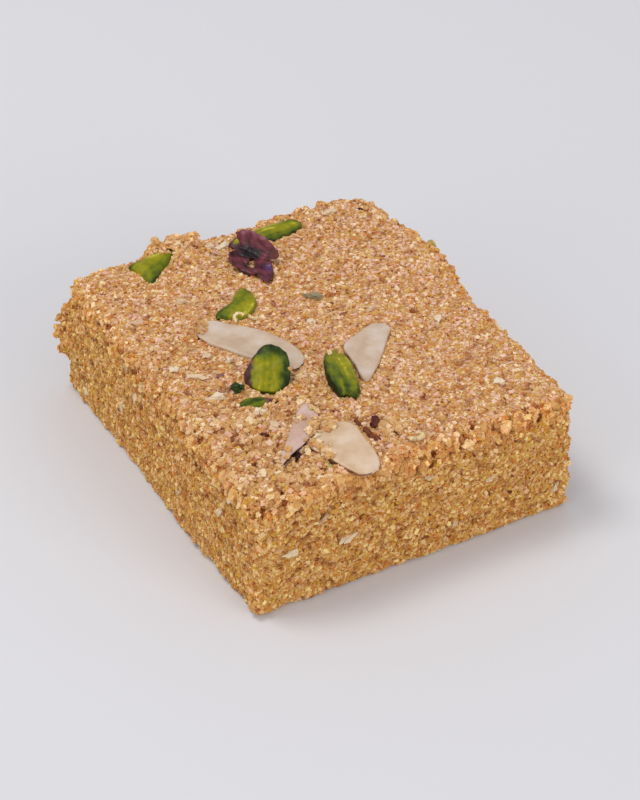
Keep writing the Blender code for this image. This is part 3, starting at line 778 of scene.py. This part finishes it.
# Painted light and shade: the petal is lighter the higher it rises, and darkened in its hollow middle.
heart_in_shade = close_to(PETAL_HEART, 3.0) * (1.0 - soft_step(up, 0.3, 0.6))
paint(petal, "tone", 0.34 + 0.42 * up + 0.4 * wrinkle + 0.2 * crease - 0.55 * heart_in_shade)
paint(petal, "violet", 0.7 * close_to(PETAL_VIOLET, 1.5))
browned = np.maximum(close_to(PETAL_BROWN[0], 1.3), close_to(PETAL_BROWN[1], 1.1))
paint(petal, "brown", browned * np.clip(0.75 + 0.5 * crease + 0.4 * wrinkle, 0.0, 1.0))
petal_finish, tree, shader = new_finish("dried_petal", roughness=0.36)
shader.inputs["Specular IOR Level"].default_value = 0.4
purple = ramp_of(tree, painted(tree, "tone"), (
    (0.0, linear(20, 8, 15)), (0.25, linear(50, 12, 20)), (0.5, linear(88, 28, 40)),
    (0.8, linear(118, 48, 62)), (1.0, linear(144, 88, 100)),
))
purple = blended(tree, "MIX", painted(tree, "violet"), purple, linear(96, 58, 108))
purple = blended(tree, "MIX", painted(tree, "brown"), purple, linear(112, 54, 40))
tree.links.new(purple, shader.inputs["Base Color"])
add_grit(tree, shader, scale=1700.0, depth=0.0002)
petal.data.materials.append(petal_finish)
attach(petal, "root")
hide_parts("dried_petal")

# The flecks in the crumb
# Chips of almond and of coarsely crushed sesame that were stirred into the sweet and show
# where it was pressed or cut, level with the crumb. A few are green, and some are dark skin;
# the darkest are dark pieces laid as painted shade in gaps beside the nuts, under the wing's
# raised tip and along the front almond's right rim.
ABOVE = 40.0                # millimetres up from the base, clear of the top
BESIDE = 50.0               # millimetres out from the middle, clear of the sides
DOWN = Vector((0.0, 0.0, -1.0))
grounds = [
    BVHTree.FromObject(obj, bpy.context.evaluated_depsgraph_get()) for obj in [core, petal] + nuts
]
crumb_ground = grounds[0]
TOWARDS = {
    # where each face is come at from, and which way
    "top": lambda a, b: (Vector((a, b, ABOVE)) * MM, DOWN),
    "front": lambda a, b: (Vector((a, -BESIDE, b)) * MM, Vector((0.0, 1.0, 0.0))),
    "left": lambda a, b: (Vector((-BESIDE, a, b)) * MM, Vector((1.0, 0.0, 0.0))),
    "right": lambda a, b: (Vector((BESIDE, a, b)) * MM, Vector((-1.0, 0.0, 0.0))),
    "back": lambda a, b: (Vector((a, BESIDE, b)) * MM, Vector((0.0, -1.0, 0.0))),
}


def land(face, a, b):
    """Where something dropped straight on a face comes to lie, and roughly the way out there."""
    start, way = TOWARDS[face](a, b)
    hits = [ground.ray_cast(start, way) for ground in grounds]
    hits = [hit for hit in hits if hit[0] is not None]
    if not hits:
        return None, None
    nearest = min(hits, key=lambda hit: hit[3])
    # The face's own way out counts twice as much as that of the grain that was hit.
    out = (nearest[1] - 2.0 * way).normalized()
    return np.array(nearest[0]), np.array(out)


def lay(name, pieces, kind, seed, sink):
    """Chips or crumbs laid one by one, with this share of their height below the surface."""
    spots, frames, sizes, tones, sides = [], [], [], [], []
    for face, a, b, length, width, height, turn, tone in pieces:
        spot, way = land(face, a, b)
        if spot is None:
            continue
        up_the_face = np.array((0.0, 1.0, 0.0)) if face == "top" else np.array((0.0, 0.0, 1.0))
        cross = np.cross(up_the_face, way)
        cross /= np.linalg.norm(cross)
        rise = np.cross(way, cross)
        angle = math.radians(turn)
        length_way = cross * math.cos(angle) + rise * math.sin(angle)
        frames.append(np.stack([length_way, np.cross(way, length_way), way], axis=1))
        spots.append(spot + way * height * (0.5 - sink) * MM)
        sizes.append(np.array((length, width, height)) * MM)
        tones.append(tone)
        # What lies on a cut side takes a little of its golden tint.
        sides.append(0.0 if face == "top" else 0.2)
    painting = {"tone": tones, "side": sides}
    return joined_grains(name, np.array(spots), np.array(frames), np.array(sizes), kind, seed, painting)


PALE_FLECKS = (
    # face, place on it, length, width and height, all in millimetres, turn in degrees, and tone
    ("front", -22.2, 10.8, 3.2, 1.3, 0.8, 0.0, 0.8), ("front", -12.0, 10.0, 4.2, 1.2, 0.8, 14.0, 0.9),
    ("front", 25.5, 5.0, 2.2, 1.3, 0.7, 60.0, 0.7), ("front", 2.0, 16.5, 2.4, 0.9, 0.6, -10.0, 0.6),
    ("front", 13.0, 12.0, 1.8, 1.0, 0.6, 40.0, 0.8), ("front", 7.0, 5.0, 1.9, 0.9, 0.6, 70.0, 0.5),
    ("left", 5.0, 18.6, 2.4, 1.3, 0.7, 80.0, 0.9), ("left", 7.4, 15.0, 2.4, 1.1, 0.7, 85.0, 0.9),
    ("left", 12.1, 9.8, 4.0, 1.1, 0.7, 88.0, 0.8), ("left", 11.0, 18.5, 4.4, 1.0, 0.6, 84.0, 0.5),
    ("left", -21.5, 13.2, 2.0, 1.2, 0.7, 60.0, 0.9), ("left", 26.0, 3.0, 2.0, 1.5, 0.8, 20.0, 0.9),
    ("left", -8.0, 7.0, 2.0, 1.0, 0.6, 50.0, 0.5), ("top", -23.3, 16.2, 2.9, 1.3, 0.6, -14.0, 0.4),
    ("top", -14.4, 18.0, 2.3, 1.5, 0.5, 10.0, 0.5), ("top", -23.6, 2.8, 2.0, 1.6, 0.9, 40.0, 0.9),
    ("top", -21.3, -0.3, 3.4, 1.4, 0.8, -30.0, 0.7), ("top", -21.3, -7.0, 3.4, 1.6, 1.1, 5.0, 1.0),
    ("top", -15.2, 0.4, 1.4, 1.1, 0.8, 30.0, 1.0), ("top", 18.5, 28.2, 3.0, 1.5, 0.7, 15.0, 0.7),
    ("top", 20.0, -5.0, 2.4, 1.3, 0.6, 70.0, 0.9), ("top", 19.7, -23.7, 2.0, 1.7, 1.0, 20.0, 1.0),
    ("top", 1.4, 3.6, 2.1, 1.6, 0.9, 80.0, 0.9), ("top", 11.5, 2.0, 1.9, 1.1, 0.6, 30.0, 0.6),
    ("top", 13.0, -14.0, 1.7, 1.0, 0.6, 10.0, 0.6), ("top", -17.1, -12.6, 2.1, 1.3, 1.0, 20.0, 1.0),
    ("top", -16.9, -16.9, 2.5, 1.9, 1.0, 60.0, 0.6), ("right", 12.0, 12.0, 3.6, 1.2, 0.7, 70.0, 0.7),
    ("right", -14.0, 8.0, 2.6, 1.3, 0.7, 10.0, 0.8), ("right", -3.0, 16.0, 2.2, 1.1, 0.7, 50.0, 0.6),
    ("back", -14.0, 9.0, 3.2, 1.2, 0.7, 80.0, 0.8), ("back", 5.0, 14.0, 2.4, 1.2, 0.7, 20.0, 0.7),
    ("back", 18.0, 7.0, 2.0, 1.1, 0.7, 55.0, 0.6), ("top", -1.4, 28.6, 3.0, 1.6, 0.8, 20.0, 0.9),
    ("top", -3.4, 29.2, 2.2, 1.4, 0.7, -10.0, 0.7), ("top", -17.4, 3.5, 2.0, 1.2, 0.7, 20.0, 0.6),
    ("top", -12.3, -22.4, 1.4, 1.0, 0.8, 30.0, 0.9), ("top", -16.4, -12.9, 1.8, 1.2, 0.9, 10.0, 1.0),
    ("top", 5.0, 9.0, 3.6, 1.5, 0.9, -29.0, -0.1), ("top", 5.8, -18.4, 1.6, 0.9, 0.7, 60.0, 0.7),
    ("left", -24.6, 18.0, 2.6, 1.0, 0.8, 32.0, 0.9), ("front", -16.5, 15.6, 2.6, 1.1, 0.7, 60.0, 0.3),
)
PALE_STOPS = (
    (0.1, linear(150, 138, 108)), (0.3, linear(210, 170, 136)), (0.6, linear(220, 190, 156)),
    (1.0, linear(236, 216, 190)),
)
GREEN_FLECKS = (
    ("top", -13.7, -29.0, 2.7, 0.8, 0.7, 75.0, 0.8), ("top", 29.2, 12.5, 3.2, 1.1, 0.9, 80.0, 0.7),
    ("top", -17.8, -7.1, 2.4, 2.2, 1.7, 60.0, 0.0),
    ("top", -9.8, -16.2, 0.9, 0.7, 0.5, 0.0, 0.8), ("left", -24.0, 8.0, 1.6, 0.8, 0.6, 60.0, 0.5),
)
GREEN_STOPS = ((0.0, linear(38, 58, 8)), (0.4, linear(124, 128, 84)), (1.0, linear(196, 196, 96)))
# Some are scraps of dark skin. The darkest, in the gaps beside the chunk and under the wing's raised tip,
# and the band along the front almond's right rim, are painted shade.
DARK_FLECKS_AND_SHADE = (
    ("top", -2.6, -23.2, 3.8, 1.5, 1.1, 40.0, 0.2), ("top", -18.3, -6.0, 1.4, 1.1, 1.6, 30.0, 0.9),
    ("top", 24.0, 27.0, 1.0, 0.8, 0.6, 0.0, 0.1), ("top", -17.9, -1.9, 2.4, 0.9, 0.7, -14.0, 0.8),
    ("front", 17.0, 7.5, 0.9, 0.7, 0.5, 0.0, 0.3), ("left", -13.0, 16.0, 0.9, 0.8, 0.5, 0.0, 0.4),
    ("top", -4.6, -20.9, 1.6, 0.8, 0.8, 70.0, 0.5), ("top", -18.6, -18.0, 2.0, 0.7, 0.7, -40.0, 0.2),
    ("top", -13.2, -11.0, 1.8, 0.9, 0.7, 10.0, 0.0), ("top", -15.4, -12.2, 1.5, 0.9, 0.7, 40.0, 0.0),
    ("top", -17.0, -24.6, 2.8, 1.4, 1.6, 27.0, 0.0), ("top", -20.5, -24.0, 1.3, 0.6, 0.6, 80.0, 0.1),
    ("top", -5.0, -22.2, 2.4, 1.1, 1.5, 84.0, 0.3), ("top", -4.6, -24.2, 2.8, 1.3, 1.6, 90.0, 0.35),
    ("top", -4.5, -26.4, 2.6, 1.1, 1.6, 94.0, 0.4),
)
DARK_AND_SHADE_STOPS = (
    (0.0, linear(42, 10, 8)), (0.15, linear(78, 28, 18)), (0.5, linear(134, 72, 40)),
    (1.0, linear(150, 108, 116)),
)
for name, pieces, stops, slot, seed, sink in (
    ("pale_flecks", PALE_FLECKS, PALE_STOPS, "almond", 210, 0.18),
    ("green_flecks", GREEN_FLECKS, GREEN_STOPS, "pistachio", 220, 0.5),
    ("dark_flecks_and_shade", DARK_FLECKS_AND_SHADE, DARK_AND_SHADE_STOPS, "petal", 230, 0.5),
):
    flecks = lay(name, pieces, "crumb", seed, sink)
    finish = grain_finish(name, stops, roughness=0.5)
    finish.node_tree.nodes["Principled BSDF"].inputs["Specular IOR Level"].default_value = 0.2
    flecks.data.materials.append(finish)
    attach(flecks, "root")

# The loose crumbs round and on the nuts
# The sweet was still soft when the nuts went in, so crumbs bank up against their rims and
# lie on the ends that were pressed deepest. Most are golden, and a few are cream.
DRIFTS = (
    # x, y and reach in millimetres, and how many
    (-15.3, 10.4, 1.9, 26), (-12.2, -18.4, 1.6, 10), (-9.8, -20.2, 1.8, 84), (-8.2, -16.2, 1.8, 22),
    (-7.5, -8.2, 1.8, 22), (-1.0, -25.4, 2.2, 26), (0.5, -5.2, 1.6, 18), (-22.5, -24.0, 5.0, 90),
    (-24.0, -10.0, 4.5, 70), (-23.5, 6.0, 4.5, 60), (-9.5, 32.6, 3.4, 46), (-19.0, -29.0, 3.5, 60),
    (-20.5, -14.5, 3.0, 40), (0.4, 21.8, 0.4, 3), (-13.5, -25.6, 2.2, 34),
    (-17.6, -13.6, 2.4, 34), (-9.0, -13.4, 1.8, 20), (-1.2, -24.6, 1.3, 30), (-14.6, -26.6, 1.6, 24),
    (-12.6, -21.3, 0.9, 26), (-13.9, -23.0, 0.8, 18),
)
RIM_CRUMBS = 30             # tried round each nut
BEDDING_GRAINS = 420        # tried under each nut's rim
BEDDING_WIDTHS = (0.3, 0.62)  # the smallest and the largest, in millimetres
random = np.random.default_rng(71)
drift = []
for x, y, reach, count in DRIFTS:
    for _ in range(count):
        away = reach * math.sqrt(random.random())
        bearing = random.uniform(0.0, 2.0 * math.pi)
        size = 0.4 + 0.9 * random.random() ** 1.6
        drift.append((
            "top", x + away * math.cos(bearing), y + away * math.sin(bearing),
            size * random.uniform(1.0, 1.3), size, size * random.uniform(0.6, 0.9),
            random.uniform(0.0, 180.0), random.random(),
        ))


def rim_points(nut, steepness, count):
    """Random points of a nut's upright rim, each with the level way out from the nut there."""
    places = places_of(nut)
    outward = outward_of(nut)
    rim = np.flatnonzero(np.abs(outward[:, 2]) < steepness)
    picked = rim[random.integers(0, len(rim), count)]
    return [(places[point], outward[point, :2] / np.linalg.norm(outward[point, :2])) for point in picked]


for nut in nuts:
    for point, away in rim_points(nut, 0.5, RIM_CRUMBS):
        x, y = (point[:2] + away * random.uniform(0.25, 0.8) * MM) / MM
        size = 0.36 + 0.6 * random.random() ** 2
        bank = crumb_ground.ray_cast(Vector((x, y, ABOVE)) * MM, DOWN)[0]
        spot, _ = land("top", x, y)
        if bank is None or max(abs(point[2] - bank.z), spot[2] - bank.z) > MM:
            continue
        drift.append((
            "top", x, y, size * 1.2, size, size * 0.8, random.uniform(0.0, 180.0), random.random(),
        ))

# Fine grains fill the narrow gap between each nut and the crumb that it was pressed into.
bedding = []
for nut in nuts:
    for point, away in rim_points(nut, 0.6, BEDDING_GRAINS):
        start = Vector((*(point[:2] + away * MM), ABOVE * MM))
        bank = crumb_ground.ray_cast(start, DOWN)[0]
        if bank is None or abs(point[2] - bank.z) > 0.8 * MM:
            continue
        spot = np.array((*(point[:2] + away * random.uniform(-0.05, 0.4) * MM), bank.z))
        bedding.append(spot - np.array((0.0, 0.0, random.uniform(0.0, 0.3) * MM)))
widths = random.uniform(*BEDDING_WIDTHS, len(bedding)) * MM
frames = turned_frames(np.tile((0.0, 0.0, 1.0), (len(bedding), 1)), random, 0.5)
bedded = joined_grains(
    "bedding_grains", np.array(bedding), frames, widths[:, None] * np.array((1.1, 0.9, 0.8)), "chip", 250,
    {"tone": random.random(len(bedding))},
)
bedded.data.materials.append(grain_finish("bedding_grains", CRUMB_STOPS, roughness=0.75))
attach(bedded, "root")

loose = lay("loose_crumbs", drift, "crumb", seed=240, sink=0.25)
loose.data.materials.append(grain_finish("loose_crumbs", CRUMB_STOPS, roughness=0.7, grit=0.0004))
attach(loose, "root")

# The curls of jaggery
# Cream-coloured threads of pulled jaggery that broke off and curled up: two lie hooked over the
# middle pistachio's rim, and one by the front edge.
CURL_COLOURS = ((0.3, linear(226, 190, 130)), (0.7, linear(246, 226, 180)))
curl_finish, tree, shader = new_finish("cream_curl", roughness=0.5)
tree.links.new(ramp_of(tree, mottle(tree, scale=1500.0), CURL_COLOURS), shader.inputs["Base Color"])
add_grit(tree, shader, scale=2400.0, depth=0.0002)
CURL_TILT = (0.25, -0.2)    # in radians
CURLS = (
    # x, y, radius and half thickness in millimetres, and turn in radians
    (-8.6, 9.4, 0.85, 0.33, 0.3), (-6.2, 9.4, 0.7, 0.30, 2.0), (0.9, -29.3, 1.15, 0.36, 3.6),
)
for index, (x, y, radius, thickness, turn) in enumerate(CURLS):
    spot, _ = land("top", x, y)
    bpy.ops.mesh.primitive_torus_add(
        major_radius=radius * MM, minor_radius=thickness * MM, major_segments=28, minor_segments=10,
    )
    curl = bpy.context.object
    curl.name = f"cream_curl_{index}"
    bpy.ops.object.mode_set(mode="EDIT")
    bpy.ops.mesh.select_all(action="SELECT")
    # Three fifths of the ring are left.
    bpy.ops.mesh.bisect(plane_co=(0.0, -0.3 * radius * MM, 0.0), plane_no=(0.0, 1.0, 0.0), clear_inner=True)
    bpy.ops.mesh.select_all(action="SELECT")
    bpy.ops.mesh.select_non_manifold()
    bpy.ops.mesh.fill()
    bpy.ops.mesh.select_all(action="SELECT")
    bpy.ops.transform.vertex_random(offset=0.07 * MM, uniform=0.4, normal=0.4, seed=index)
    bpy.ops.object.mode_set(mode="OBJECT")
    curl.location = Vector(spot) + Vector((0.0, 0.0, 0.5 * thickness * MM))
    curl.rotation_euler = (*CURL_TILT, turn)
    work_on(curl)
    bpy.ops.object.transform_apply(location=True, rotation=True, scale=True)
    smooth = curl.modifiers.new("smooth", "SUBSURF")
    smooth.levels = 1
    smooth.render_levels = 1
    apply_modifiers(curl)
    bpy.ops.object.shade_smooth()
    curl.data.materials.append(curl_finish)
    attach(curl, "root")
